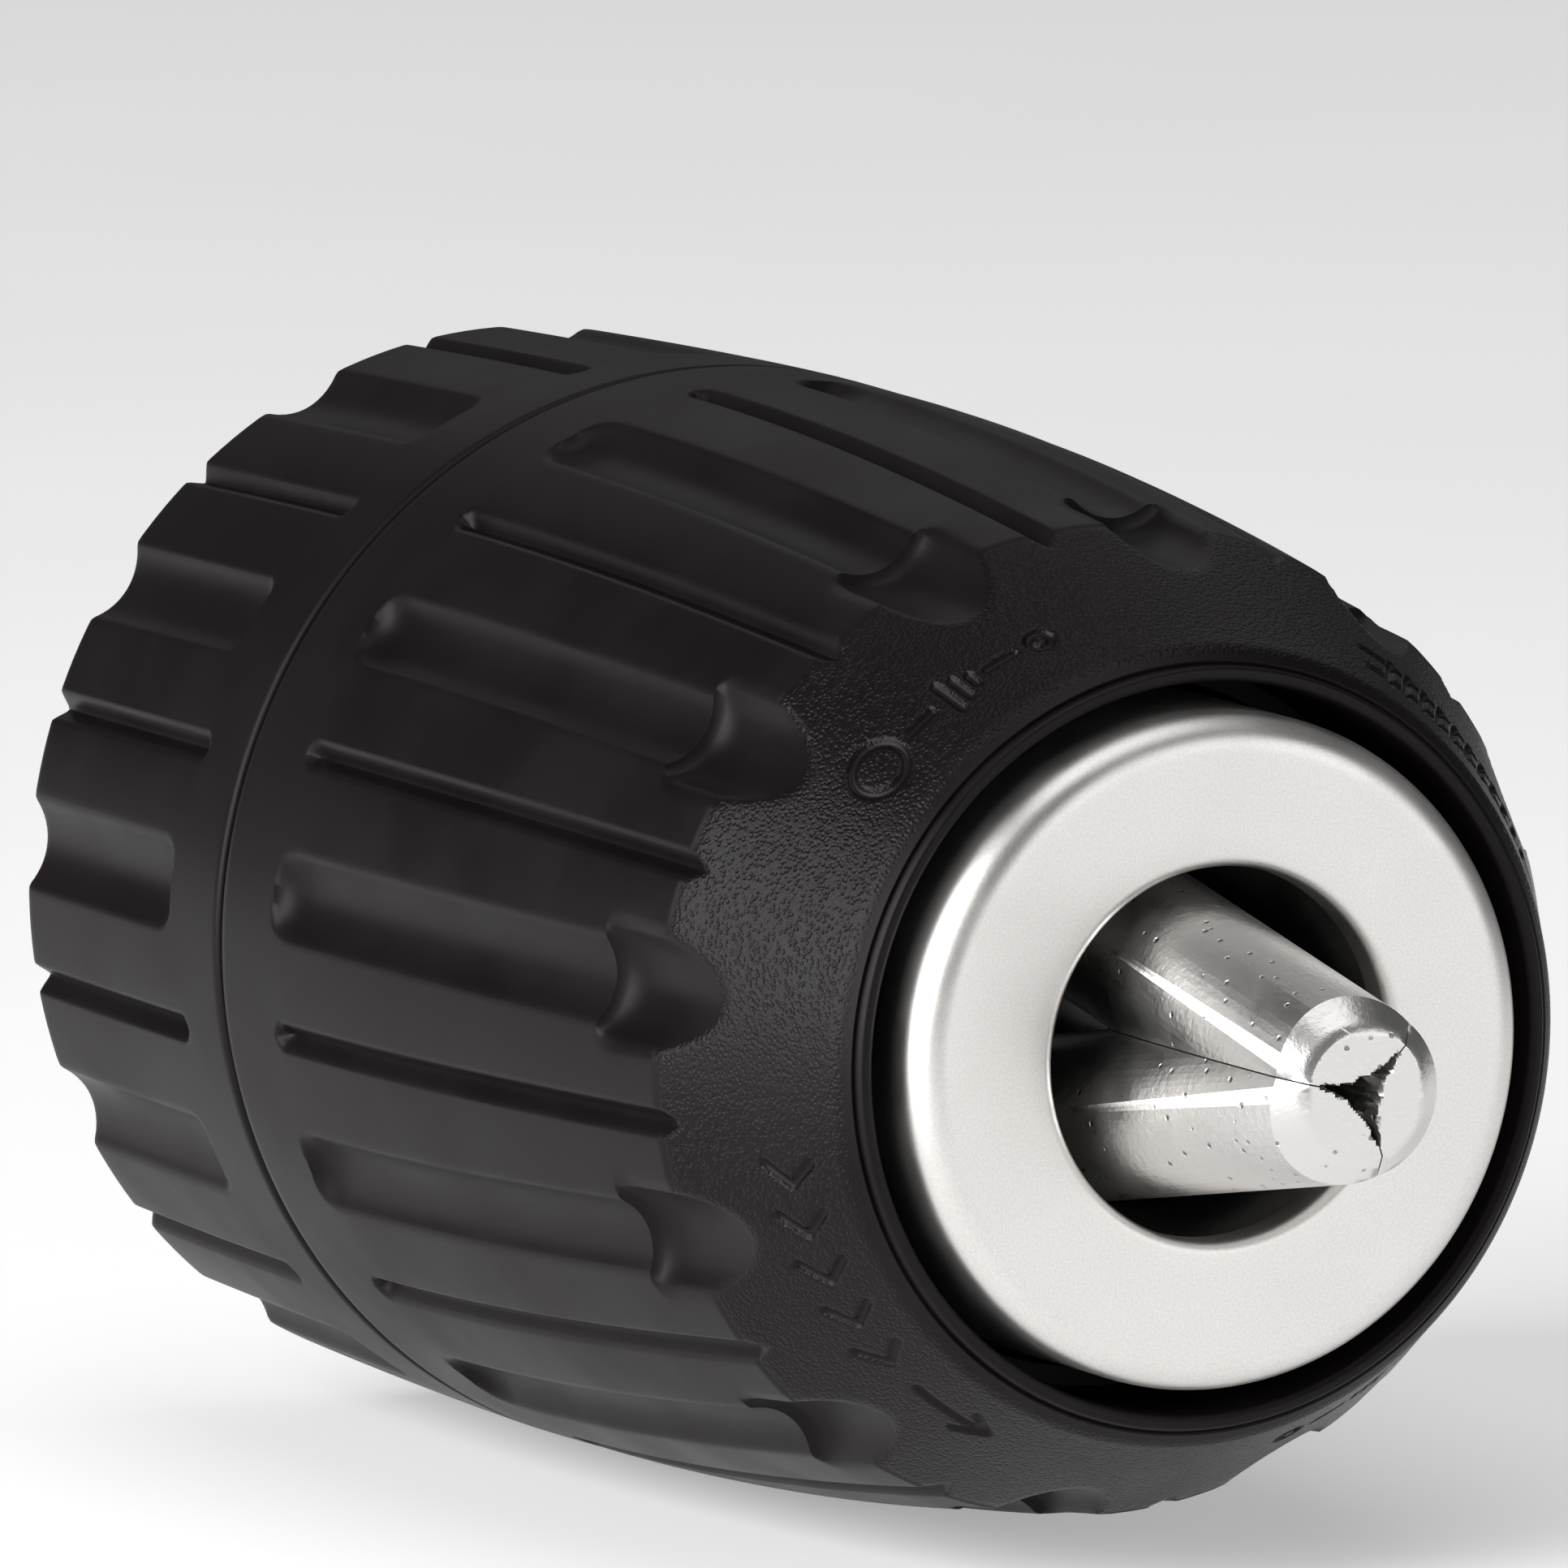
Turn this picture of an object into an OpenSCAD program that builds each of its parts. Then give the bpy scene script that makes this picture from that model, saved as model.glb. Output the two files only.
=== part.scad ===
// Keyless drill chuck with two moulded sleeves, three inclined jaws and a split nut on a thrust bearing.
// Every piece is made about the chuck's own axis, +Z from the spindle face to the jaw tips, and then laid
// down with the axis along -Y, so that the jaws face the front. The origin is where the axis meets the
// spindle face. The jaws are shown closed.

/* [Chuck] */
// Length from the spindle face to the front of the nose cap
chuck_l = 63.3; // [60:0.1:80]
// Largest shank that the jaws open to
capacity_d = 13; // [10:0.1:15.6]
// How far the closed jaws stand out of the nose cap
tip_reach = 11.7; // [8:0.1:14]
// Turn of the jaws about the axis
jaw_turn = 106.7; // [0:0.1:120]

/* [Jaws] */
// Diameter of a jaw
jaw_d = 6.6; // [5.4:0.1:8]
// Angle between a jaw and the chuck's axis
jaw_angle = 13; // [10.8:0.1:15]
// Distance from the axis to the gripping ridge when the jaws are closed
grip_closed_r = 0.5; // [0.4:0.05:1.2]
// Radius of the flat face that the three closed tips make
tip_r = 2.5; // [1.5:0.1:3]
// Gap between neighbouring jaws when they are closed
jaw_gap = 0.06; // [0.04:0.01:0.2]
// Lead of the jaw and nut thread
jaw_lead = 2.5; // [2:0.25:3]
// Depth of the thread cut into a jaw
jaw_thread_depth = 0.8; // [0.5:0.05:1]
// Radial clearance of a jaw in its bore
jaw_clearance = 0.05; // [0.02:0.01:0.1]
// Gap between an open jaw's tail and the rear sleeve's back wall
tail_gap = 0.4; // [0.2:0.1:1]
// Depth of the flat on the outside of a jaw's tail
tail_flat = 0.65; // [0.4:0.05:1]

/* [Spindle end] */
// Minor diameter of the 1/2-20 UNF spindle thread
spindle_minor_d = 11.46; // [8.5:0.01:14.2]
// Depth of the spindle thread
spindle_depth = 16; // [12:0.5:18]
// Clearance bore for the retaining screw
screw_bore_d = 6.6; // [5:0.1:8]
// Diameter of the tail that the rear sleeve is pressed on
tail_d = 24.4; // [22:0.1:25]
// Height of the tail
tail_h = 5.6; // [5:0.1:6]

/* [Nut and thrust bearing] */
// How far the nut reaches behind the tails of the closed jaws
nut_lap = 0.4; // [0:0.1:1]
// Height of the nut
nut_h = 7.2; // [6:0.1:8]
// Gap in front of the nut
nut_gap = 0.2; // [0.1:0.05:0.4]
// Gap between the nut's thread and the jaws
nut_air = 0.12; // [0.08:0.01:0.3]
// Gap at the two fractures of the nut
nut_split = 0.08; // [0.04:0.01:0.2]
// Wall of the steel shell round the nut
shell_wall = 1.2; // [0.8:0.1:2]
// Diameter of a bearing ball
ball_d = 2; // [1.6:0.1:2.2]
// Number of bearing balls
ball_count = 28; // [12:1:32]
// Thickness of a bearing race
race_t = 1.5; // [1:0.1:2]
// Width of a bearing race across its ring
race_w = 3; // [2.8:0.1:4]
// Depth of the ball track in a race
track_depth = 0.3; // [0.1:0.05:0.4]
// Thickness of the ball cage
cage_t = 1.2; // [0.8:0.1:1.4]
// Gap between the races and the jaws
race_air = 0.3; // [0.2:0.05:0.6]

/* [Sleeves] */
// Wall from the nut shell to the outside of the front sleeve
sleeve_wall = 3.1; // [2.7:0.1:4.5]
// How far the front sleeve reaches behind the thrust bearing
sleeve_skirt = 5.4; // [4:0.1:6]
// Wall of the rear sleeve round the jaw tails
rear_wall = 1.7; // [1.5:0.1:2.5]
// Gap between the two sleeves
parting_gap = 0.25; // [0.15:0.05:0.6]
// Plain band on each side of the gap, before the flutes start
plain_band = 4.4; // [3:0.1:6]
// How far the spindle face stands behind the rear sleeve
tail_proud = 1; // [0.5:0.1:1.5]
// Thickness of the rear sleeve's back wall
back_wall = 1.8; // [1.4:0.1:2.4]
// Thickness of the pressed rear cover
cover_t = 0.8; // [0.5:0.1:1]
// Radius of the rear cover
cover_r = 17; // [15:0.1:18]
// Height of the nose cone
cone_h = 8.5; // [7:0.1:10]
// How far the barrel narrows from the parting line to the nose cone
barrel_drop = 2.2; // [1:0.1:2.4]
// Radial gap between the nose cap and the mouth of the sleeve
mouth_gap = 1.05; // [0.6:0.05:1.6]
// Width of the rim round the sleeve's mouth
rim_w = 1; // [0.8:0.1:1.4]
// How far the nose cap stands in front of the sleeve's rim
cap_proud = 1.6; // [0.6:0.1:2]
// Running clearance of the front sleeve on the body's nose
nose_clearance = 0.06; // [0.03:0.01:0.1]

/* [Flutes] */
// Number of wide flutes, which is also the number of narrow grooves
flute_count = 12; // [8:1:14]
// Width of a wide flute
flute_w = 3.3; // [2.5:0.1:4]
// Depth of a wide flute
flute_depth = 0.75; // [0.5:0.05:0.9]
// Width of the deeper tongue at the nose end of a front flute
tongue_w = 4.5; // [3.4:0.1:5]
// Depth of that tongue
tongue_depth = 1.25; // [0.9:0.05:1.4]
// How far that tongue starts behind the nose cone
tongue_back = 3.2; // [2:0.1:5]
// Width of a narrow groove
groove_w = 1.2; // [0.8:0.1:1.6]
// Depth of a narrow groove
groove_depth = 0.7; // [0.4:0.05:0.8]
// Turn of the front sleeve's pattern about the axis
front_turn = 23; // [0:0.5:30]
// Turn of the rear sleeve's pattern about the axis
rear_turn = 25.3; // [0:0.1:30]

/* [Nose cap] */
// Outside diameter of the nose cap
cap_d = 26.3; // [26:0.1:31.6]
// How much wider the hole in the nose cap is than the largest shank
cap_hole_gap = 1.5; // [1:0.1:2]
// Sheet thickness of the nose cap
cap_t = 1; // [0.8:0.1:1.2]
// Radius of the cap's outer edge
cap_edge_r = 1.4; // [1:0.1:1.8]
// Height of the nose cap
cap_h = 9; // [6:0.1:10]
// How far the rolled edge of the hole turns in
cap_roll = 1.6; // [1:0.1:2.5]

/* [Hidden] */
$fn = 96;
far = 100;
eps = 0.01;

// Jaws: their axes cross the chuck's axis at jaw_apex_z
jaw_count = 3;
tip_z = chuck_l + tip_reach;
jaw_apex_z = tip_z + 0.2;
jaw_wall_r = jaw_d / 2 / cos(jaw_angle);
grip_open_r = capacity_d / 2;
jaw_stroke_r = grip_open_r - grip_closed_r;
jaw_stroke_z = jaw_stroke_r / tan(jaw_angle);
rear_wall_z = tail_proud + cover_t + back_wall;
open_tail_z = rear_wall_z + tail_gap;
tail_z = open_tail_z + jaw_stroke_z;
bore_d = jaw_d + 2 * jaw_clearance;
thread_flat = 0.15;
thread_mouth = 1.7;
thread_end = 4;
function jaw_axis_r(z) = (jaw_apex_z - z) * tan(jaw_angle);
function jaw_outer_r(z) = jaw_axis_r(z) + jaw_wall_r;

// Stack from the nut, which the closed jaws still fill, back to the thrust shoulder
nut_rear_z = tail_z - nut_lap;
nut_front_z = nut_rear_z + nut_h;
groove_front_z = nut_front_z + nut_gap;
ball_z = nut_rear_z - race_t + track_depth - ball_d / 2;
shoulder_z = ball_z - ball_d / 2 + track_depth - race_t;
parting_z = shoulder_z - sleeve_skirt;

// Radii from the jaws out to the sleeves
race_ri = jaw_outer_r(shoulder_z) + race_air;
race_ro = race_ri + race_w;
ball_circle_r = (race_ri + race_ro) / 2;
race_side_gap = 0.17;
ball_air = 0.02;
cage_air = 0.1;
shell_r = race_ro + race_side_gap;
nut_r = shell_r - shell_wall;
tail_side_gap = 0.35;
rear_draw = 0.25;
open_tail_r = jaw_outer_r(open_tail_z) - tail_flat;
rear_cavity_r = open_tail_r + tail_side_gap;
sleeve_r = max(shell_r + sleeve_wall, rear_cavity_r + rear_wall + rear_draw);
main_r = race_ro;
body_edge = 0.5;
body_taper = 2;
nut_bore_r = nut_air + jaw_wall_r;
function nut_thread_r(z) = jaw_axis_r(z) + nut_bore_r;
groove_air = 0.4;
groove_r = nut_thread_r(nut_front_z) - groove_air;
cap_r = cap_d / 2;
neck_r = cap_r - cap_t;
nose_step = 0.25;
nose_r = cap_r + nose_step;
cap_rear_z = chuck_l - cap_h;
cap_seat_z = cap_rear_z - 0.5;
work_bore_r = grip_open_r + 0.2;
work_bore_z = shoulder_z + 4;
work_mouth_h = 4;
work_mouth_land = 2;
mouth_r = cap_r + mouth_gap;
rim_r = mouth_r + rim_w;
rim_z = chuck_l - cap_proud;
cone_z = rim_z - cone_h;
cone_r = sleeve_r - barrel_drop;
flute_fillet = 0.5;
vee_flat = 0.24;
flute_start_z = parting_z + plain_band;
flute_end_z = parting_z - plain_band - parting_gap;
tongue_z = cone_z - tongue_back;
tongue_start_r = cone_r + 0.35;
tongue_run = 3.16;
cone_slope = (cone_r - rim_r) / cone_h;
tongue_end_r = cone_r - cone_slope * tongue_run + tongue_depth;
tongue_fall = (tongue_start_r - tongue_end_r) / (tongue_back + tongue_run);
tongue_rim_r = tongue_start_r - tongue_fall * (rim_z - tongue_z);
barrel_r = sleeve_r - 0.08;
barrel_curve = 1.8;
barrel_steps = 5;
sleeve_edge = 0.3;
skirt_bore_r = race_ro + 0.25;
skirt_bore_z = nut_rear_z - 0.3;
shell_lip_r = shell_r - 1.4;
shell_lip_z = nut_front_z + nut_gap;
nose_bore_r = nose_r + nose_clearance;
nose_bore_z = groove_front_z + 7;
nose_taper_h = 3;
cap_well_z = cap_rear_z - 1;
cavity_start = 2;
rear_edge = 0.8;
rear_r = sleeve_r - 0.15;
rear_cavity_z = parting_z - plain_band - cavity_start;
rear_front_z = parting_z - parting_gap;

// Lays a piece made about +Z down with the nose towards -Y
module laid() { rotate([90, 0, 0]) children(); }

module ring(r_in, r_out, z0, z1) {
    translate([0, 0, z0]) difference() {
        cylinder(r = r_out, h = z1 - z0);
        translate([0, 0, -eps]) cylinder(r = r_in, h = z1 - z0 + 2 * eps);
    }
}

module revolve(points) { rotate_extrude() polygon(points); }

// A cylinder along a jaw's axis, from the tips to below the spindle face
module jaw_rod(d) {
    translate([0, 0, jaw_apex_z]) rotate([0, -jaw_angle, 0])
        translate([0, 0, -far]) cylinder(d = d, h = far + 10);
}

module jaw_place(i) { rotate([0, 0, jaw_turn + i * 360 / jaw_count]) children(); }

// One jaw, with its axis above +X
module jaw() {
    wedge = 60;
    thread_top_z = chuck_l - thread_end;
    grooves = floor((thread_top_z - tail_z - 1) / jaw_lead);
    difference() {
        jaw_rod(jaw_d);
        translate([-far, -far, tail_z - far]) cube([2 * far, 2 * far, far]);
        revolve([[0, tip_z], [tip_r, tip_z], [tip_r + 8, tip_z - 8], [far, tip_z - 8], [far, far], [0, far]]);
        translate([grip_closed_r - far, -far / 2, 0]) cube([far, far, far]);
        translate([open_tail_r - jaw_stroke_r, -far / 2, 0]) cube([far, far, far]);
        for (side = [0, 1]) mirror([0, side, 0]) rotate([0, 0, wedge])
            translate([-far / 2, -jaw_gap / 2, 0]) cube([far, far, far]);
        for (i = [1 : grooves]) {
            z = tail_z + i * jaw_lead;
            r = jaw_outer_r(z);
            revolve([[r - jaw_thread_depth, z - thread_flat], [r + 3, z - thread_mouth],
                     [r + 3, z + thread_mouth], [r - jaw_thread_depth, z + thread_flat]]);
        }
    }
}

module chuck_body() color("dimgray") laid() difference() {
    tail_r = tail_d / 2;
    front_z = chuck_l - cap_t;
    revolve([[0, 0], [tail_r - body_edge, 0], [tail_r, body_edge], [tail_r, tail_h],
             [main_r - body_taper, tail_h], [main_r, tail_h + body_taper], [main_r, shoulder_z],
             [groove_r, shoulder_z], [groove_r, groove_front_z], [nose_r, groove_front_z],
             [nose_r, cap_seat_z], [neck_r, cap_seat_z], [neck_r, front_z], [0, front_z]]);
    for (i = [0 : jaw_count - 1]) jaw_place(i) jaw_rod(bore_d);
    translate([0, 0, -eps]) cylinder(d = spindle_minor_d, h = spindle_depth + eps);
    cylinder(d = screw_bore_d, h = far);
    translate([0, 0, work_bore_z]) cylinder(r = work_bore_r, h = far);
    translate([0, 0, front_z - work_mouth_h])
        cylinder(r1 = work_bore_r, r2 = neck_r - work_mouth_land, h = work_mouth_h + eps);
}

module jaw_1() color("silver") laid() jaw_place(0) jaw();
module jaw_2() color("silver") laid() jaw_place(1) jaw();
module jaw_3() color("silver") laid() jaw_place(2) jaw();

// The nut with its conical thread, before it is fractured
module nut() {
    crest = jaw_lead / 8;
    difference() {
        revolve([[nut_thread_r(nut_rear_z), nut_rear_z], [nut_r, nut_rear_z],
                 [nut_r, nut_front_z], [nut_thread_r(nut_front_z), nut_front_z]]);
        for (z = [nut_rear_z + jaw_lead / 2 : jaw_lead : nut_front_z - jaw_lead / 3]) {
            r = nut_thread_r(z);
            revolve([[r - 1, z - jaw_lead / 2 + crest], [r + jaw_thread_depth, z - thread_flat],
                     [r + jaw_thread_depth, z + thread_flat], [r - 1, z + jaw_lead / 2 - crest]]);
        }
    }
}

module nut_half(side) {
    difference() {
        nut();
        translate([side > 0 ? -far : -nut_split / 2, -far / 2, 0]) cube([far + nut_split / 2, far, far]);
    }
}

module nut_half_1() color("gray") laid() nut_half(1);
module nut_half_2() color("gray") laid() nut_half(-1);

// Steel shell round the nut, which the front sleeve is pressed on
module nut_shell() color("darkgray") laid()
    ring(nut_r, shell_r, nut_rear_z, nut_front_z);

module race(z) {
    difference() {
        ring(race_ri, race_ro, z, z + race_t);
        translate([0, 0, ball_z]) rotate_extrude()
            translate([ball_circle_r, 0]) circle(d = ball_d + 2 * ball_air);
    }
}

module thrust_race_rear() color("lightgray") laid() race(shoulder_z);
module thrust_race_front() color("lightgray") laid() race(nut_rear_z - race_t);

module ball_places() {
    for (i = [0 : ball_count - 1]) rotate([0, 0, i * 360 / ball_count])
        translate([ball_circle_r, 0, ball_z]) children();
}

module thrust_balls() color("white") laid() ball_places() sphere(d = ball_d - 2 * ball_air);

module ball_cage() color("goldenrod") laid() difference() {
    ring(race_ri + cage_air, race_ro - cage_air, ball_z - cage_t / 2, ball_z + cage_t / 2);
    ball_places() cylinder(d = ball_d + cage_air, h = cage_t * 2, center = true);
}

// Cutter for one wide flute: a round bar with a filleted end, from z0 to z1, whose floor falls from r0 to r1
module flute_cutter(w, depth, z0, z1, r0, r1) {
    bar_r = (w * w / 4 + depth * depth) / (2 * depth);
    fall = atan((r0 - r1) / (z1 - z0));
    translate([r0 + bar_r - depth, 0, z0]) rotate([0, -fall, 0]) rotate_extrude() {
        translate([0, flute_fillet]) square([bar_r, z1 - z0 - flute_fillet]);
        square([bar_r - flute_fillet, flute_fillet + eps]);
        translate([bar_r - flute_fillet, flute_fillet]) circle(r = flute_fillet);
    }
}

// Cutter for one narrow groove, a vee with a small flat at its bottom
module vee_cutter(w, depth, z0, z1, r0, r1) {
    fall = atan((r0 - r1) / (z1 - z0));
    translate([r0, 0, z0]) rotate([0, -fall, 0]) linear_extrude(z1 - z0)
        polygon([[-depth, -vee_flat / 2], [0, -w / 2], [2, -w / 2],
                 [2, w / 2], [0, w / 2], [-depth, vee_flat / 2]]);
}

module round_pattern(turn) {
    for (i = [0 : flute_count - 1]) rotate([0, 0, turn + i * 360 / flute_count]) children();
}

// The barrel's outline, which narrows faster towards the nose cone
function barrel_points() = [for (i = [0 : barrel_steps]) let (t = i / barrel_steps)
    [barrel_r - (barrel_r - cone_r) * pow(t, barrel_curve), flute_start_z + (cone_z - flute_start_z) * t]];

module front_sleeve() color("#26201f") laid() difference() {
    revolve(concat(
        [[skirt_bore_r, parting_z], [sleeve_r - 0.1, parting_z], [sleeve_r, parting_z + sleeve_edge]],
        barrel_points(),
        [[rim_r, rim_z - sleeve_edge], [mouth_r + sleeve_edge, rim_z], [mouth_r, rim_z - 0.1],
         [mouth_r, cap_well_z], [nose_bore_r, cap_well_z], [nose_bore_r, nose_bore_z],
         [shell_lip_r, nose_bore_z - nose_taper_h], [shell_lip_r, shell_lip_z], [shell_r, shell_lip_z],
         [shell_r, skirt_bore_z], [skirt_bore_r, skirt_bore_z]]));
    round_pattern(front_turn) {
        flute_cutter(flute_w, flute_depth, flute_start_z, cone_z, sleeve_r - 0.1, cone_r - 0.185);
        flute_cutter(tongue_w, tongue_depth, tongue_z, rim_z, tongue_start_r, tongue_rim_r);
    }
    round_pattern(front_turn + 180 / flute_count)
        vee_cutter(groove_w, groove_depth, flute_start_z, cone_z + 8, sleeve_r - 0.1, cone_r - 0.6);
}

module rear_sleeve() color("#26201f") laid() difference() {
    revolve([[tail_d / 2, tail_proud + cover_t], [cover_r, tail_proud + cover_t], [cover_r, tail_proud],
             [rear_r - rear_edge, tail_proud], [rear_r - 0.2, tail_proud + rear_edge],
             [rear_r, flute_end_z], [sleeve_r, rear_front_z - sleeve_edge], [sleeve_r - 0.1, rear_front_z],
             [main_r, rear_front_z], [main_r, rear_cavity_z], [rear_cavity_r, rear_cavity_z],
             [rear_cavity_r, rear_wall_z], [tail_d / 2, rear_wall_z]]);
    round_pattern(rear_turn)
        mirror([0, 0, 1]) translate([0, 0, -flute_end_z])
            flute_cutter(flute_w + 0.2, flute_depth, 0, far, rear_r, rear_r);
    round_pattern(rear_turn + 180 / flute_count)
        vee_cutter(groove_w, groove_depth, -1, flute_end_z + 1, rear_r - 0.1, rear_r);
}

module nose_cap() color("gainsboro") laid() difference() {
    hole_r = (capacity_d + cap_hole_gap) / 2;
    lip_r = cap_t / 2;
    rotate_extrude() {
        translate([neck_r, cap_rear_z]) square([cap_t, cap_h - cap_edge_r]);
        translate([hole_r + lip_r, chuck_l - cap_t]) square([cap_r - cap_edge_r - hole_r - lip_r, cap_t]);
        intersection() {
            translate([cap_r - cap_edge_r, chuck_l - cap_edge_r]) circle(r = cap_edge_r);
            translate([neck_r - 1, chuck_l - cap_t]) square([4, 4]);
        }
        intersection() {
            translate([cap_r - cap_edge_r, chuck_l - cap_edge_r]) circle(r = cap_edge_r);
            translate([neck_r, chuck_l - 4]) square([4, 4]);
        }
        translate([hole_r + lip_r, chuck_l - lip_r]) circle(r = lip_r);
        translate([hole_r, chuck_l - cap_roll]) square([cap_t * 0.8, cap_roll - lip_r]);
    }
}

module rear_cover() color("lightgray") laid()
    ring(tail_d / 2, cover_r, tail_proud, tail_proud + cover_t);

chuck_body();
jaw_1();
jaw_2();
jaw_3();
nut_half_1();
nut_half_2();
nut_shell();
thrust_race_rear();
thrust_race_front();
thrust_balls();
ball_cage();
front_sleeve();
nose_cap();
rear_sleeve();
rear_cover();
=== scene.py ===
"""The looks of a keyless drill chuck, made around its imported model.

Pieces are made about the chuck's own axis, +Z from the spindle face to the jaw tips, in metres,
and are then laid down with the nose towards -Y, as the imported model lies.
"""

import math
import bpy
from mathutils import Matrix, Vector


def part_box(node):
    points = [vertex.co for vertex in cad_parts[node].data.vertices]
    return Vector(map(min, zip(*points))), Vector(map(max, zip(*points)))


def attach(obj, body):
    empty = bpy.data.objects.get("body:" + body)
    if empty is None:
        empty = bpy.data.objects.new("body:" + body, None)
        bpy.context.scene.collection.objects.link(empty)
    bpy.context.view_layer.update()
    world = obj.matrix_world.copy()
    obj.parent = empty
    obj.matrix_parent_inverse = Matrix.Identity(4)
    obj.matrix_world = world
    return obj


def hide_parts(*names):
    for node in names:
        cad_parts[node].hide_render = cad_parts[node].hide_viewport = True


bl_info = {
    "name": "Keyless drill chuck",
    "version": (1, 0, 0),
    "blender": (4, 5, 0),
    "location": "View3D > Sidebar > Chuck",
    "description": "Makes the sleeves, cap, jaws, body, finishes and stage of a keyless drill chuck",
    "category": "Object",
}

import bmesh
import bpy
from mathutils import Matrix, Vector, noise

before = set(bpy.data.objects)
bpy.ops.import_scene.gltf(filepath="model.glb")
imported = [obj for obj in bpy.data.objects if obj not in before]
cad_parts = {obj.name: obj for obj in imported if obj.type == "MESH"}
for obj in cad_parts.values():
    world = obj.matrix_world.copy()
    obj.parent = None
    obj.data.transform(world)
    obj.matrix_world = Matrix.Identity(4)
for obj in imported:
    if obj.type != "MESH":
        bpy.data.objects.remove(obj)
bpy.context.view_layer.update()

MM = 0.001
LAID = Matrix.Rotation(math.radians(90), 4, "X")


def nose_end(node):
    """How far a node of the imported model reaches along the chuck's axis from the spindle face."""
    return -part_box(node)[0].y


def rear_end(node):
    """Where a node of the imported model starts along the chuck's axis."""
    return -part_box(node)[1].y


PARTING = rear_end("front_sleeve")
RIM = nose_end("front_sleeve")
CAP_FACE = nose_end("nose_cap")
CAP_REAR = rear_end("nose_cap")
CAP_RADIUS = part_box("nose_cap")[1].x
NUT_REAR = rear_end("nut_shell")
NUT_FRONT = nose_end("nut_shell")
SHELL_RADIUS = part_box("nut_shell")[1].x
RACE_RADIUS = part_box("thrust_race_rear")[1].x
REAR_FACE = rear_end("rear_sleeve")
REAR_FRONT = nose_end("rear_sleeve")
COVER_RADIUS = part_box("rear_cover")[1].x
COVER_FRONT = nose_end("rear_cover")
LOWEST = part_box("front_sleeve")[0].z


# Sizes and colours ------------------------------------------------------------------------------


def length(name, description, millimetres):
    """A length that a user may change."""
    return bpy.props.FloatProperty(
        name=name, description=description, default=millimetres * MM, min=0.0, precision=5,
        subtype="DISTANCE", unit="LENGTH",
    )


def colour(name, description, value):
    """A colour that a user may change."""
    return bpy.props.FloatVectorProperty(
        name=name, description=description, default=value, size=3, min=0.0, max=1.0, subtype="COLOR"
    )


def share(name, description, value):
    """A share from 0 to 1 that a user may change."""
    return bpy.props.FloatProperty(
        name=name, description=description, default=value, min=0.0, max=1.0, subtype="FACTOR"
    )


def light_level(name, description, value):
    """The brightness of a light, which a user may change."""
    return bpy.props.FloatProperty(name=name, description=description, default=value, min=0.0)


def turn(name, description, degrees):
    """An angle that a user may change."""
    return bpy.props.FloatProperty(
        name=name, description=description, default=math.radians(degrees), subtype="ANGLE", unit="ROTATION"
    )


class ChuckSleeves(bpy.types.PropertyGroup):
    radius: length("Radius", "Radius of both sleeves at the parting line", 21.5)
    front_drop: length("Barrel drop", "How far the front barrel narrows before the nose cone", 2.2)
    cone_height: length("Cone height", "Height of the nose cone", 8.5)
    rim_radius: length("Rim radius", "Radius where the nose cone meets the rim", 15.1)
    mouth_radius: length("Mouth radius", "Radius of the mouth round the nose cap", 14.2)
    plain_band: length("Plain band", "Plain band on each side of the parting line", 4.4)
    flute_count: bpy.props.IntProperty(
        name="Flutes", description="Number of wide flutes", default=12, min=4, max=24
    )
    flute_width: length("Flute width", "Width of a wide flute", 3.3)
    flute_depth: length("Flute depth", "Depth of a wide flute", 0.75)
    tongue_width: length("Tongue width", "Width of the deeper tongue at the nose end of a front flute", 4.5)
    tongue_depth: length("Tongue depth", "Depth of that tongue behind the nose cone", 1.25)
    groove_width: length("Groove width", "Width of a narrow groove", 1.2)
    groove_depth: length("Groove depth", "Depth of a narrow groove", 0.7)
    front_turn: turn("Front turn", "Turn of the front sleeve's flutes about the axis", 23.0)
    rear_turn: turn("Rear turn", "Turn of the rear sleeve's flutes about the axis", 25.3)
    mark_depth: length("Mark depth", "Depth of the engraved marks", 0.16)


class ChuckCap(bpy.types.PropertyGroup):
    hole_radius: length("Hole radius", "Radius of the hole that the jaws pass through", 7.25)
    edge_radius: length("Edge radius", "Radius of the drawn outer edge", 1.4)
    sheet: length("Sheet", "Thickness of the drawn sheet", 1.0)
    lip_radius: length("Lip radius", "Radius of the rolled edge of the hole", 0.5)
    roll: length("Roll", "How far the rolled edge turns in", 1.6)


class ChuckJaws(bpy.types.PropertyGroup):
    wear_reach: length("Wear reach", "How far the broken corners of the tips run out along the seams", 2.1)
    wear_width: length("Wear width", "Half width of the broken corners at the middle", 0.5)
    wear_depth: length("Wear depth", "Depth of the broken corners", 1.6)


class ChuckBody(bpy.types.PropertyGroup):
    minor_radius: length("Minor radius", "Minor radius of the spindle thread", 5.73)
    pitch: length("Pitch", "Pitch of the spindle thread", 1.27)
    thread_height: length("Thread height", "Height of the spindle thread", 0.6)
    thread_length: length("Thread length", "Length of the full spindle thread", 14.5)
    bore_depth: length("Bore depth", "Depth of the spindle bore", 16.0)


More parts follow.
